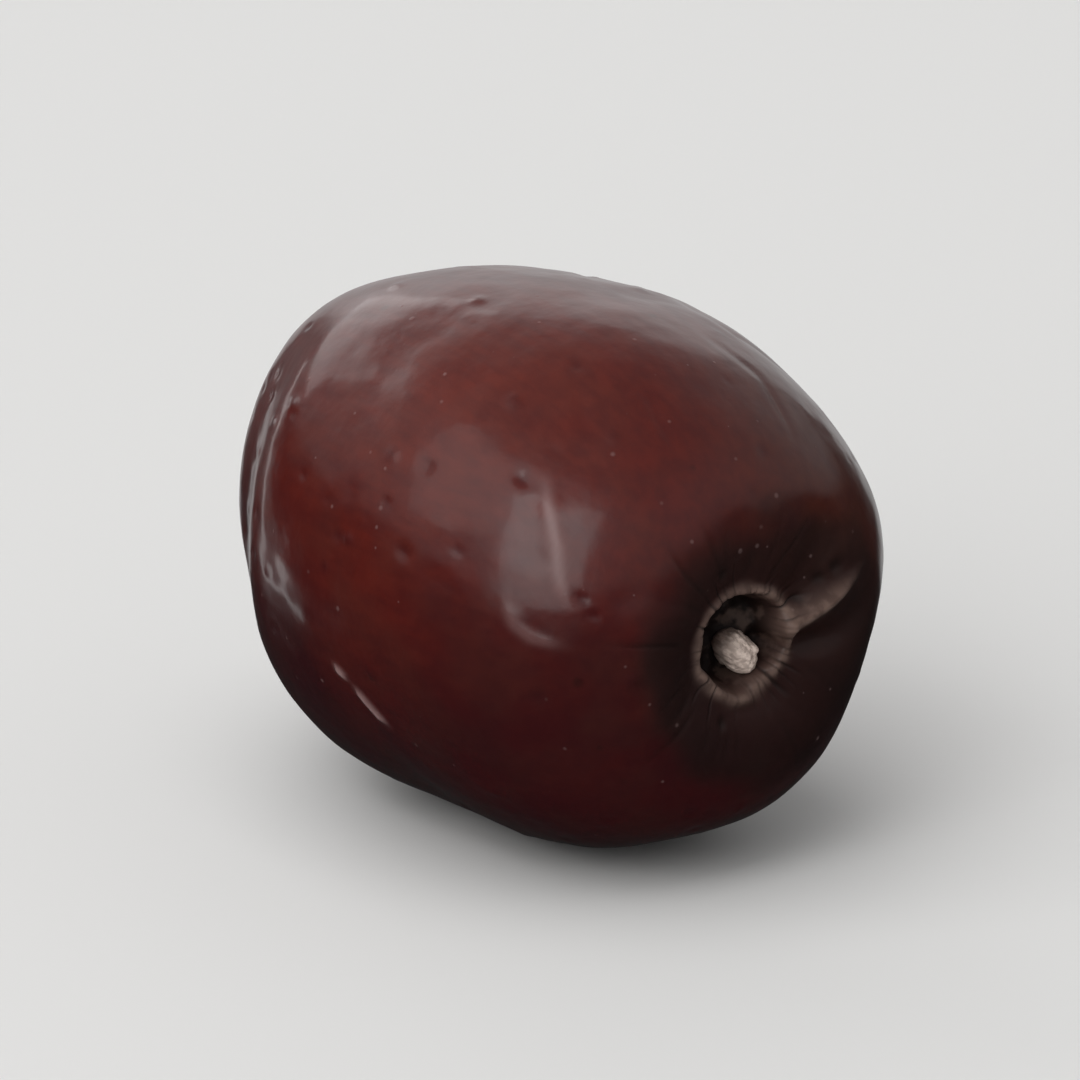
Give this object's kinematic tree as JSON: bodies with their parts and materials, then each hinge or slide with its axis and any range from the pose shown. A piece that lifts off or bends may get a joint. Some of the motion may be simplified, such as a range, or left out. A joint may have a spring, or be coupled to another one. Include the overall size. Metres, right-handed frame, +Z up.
{
  "type": "jujube",
  "caption": "Whole ripe jujube, an oval fruit lying on its side, with a stem pit in a shallow basin at one end and a small blossom scar at the other.",
  "frame": {"origin": "middle of the resting spot's level, under the middle of the fruit's box", "axes": "+X along the long axis to the stem end, +Z up, +Y across the fruit"},
  "size_m": [0.0268, 0.0208, 0.0207],
  "materials": {
    "skin": "glossy waxed dark red skin"
  },
  "bodies": {
    "root": {"fruit": "skin"}
  },
  "joints": []
}
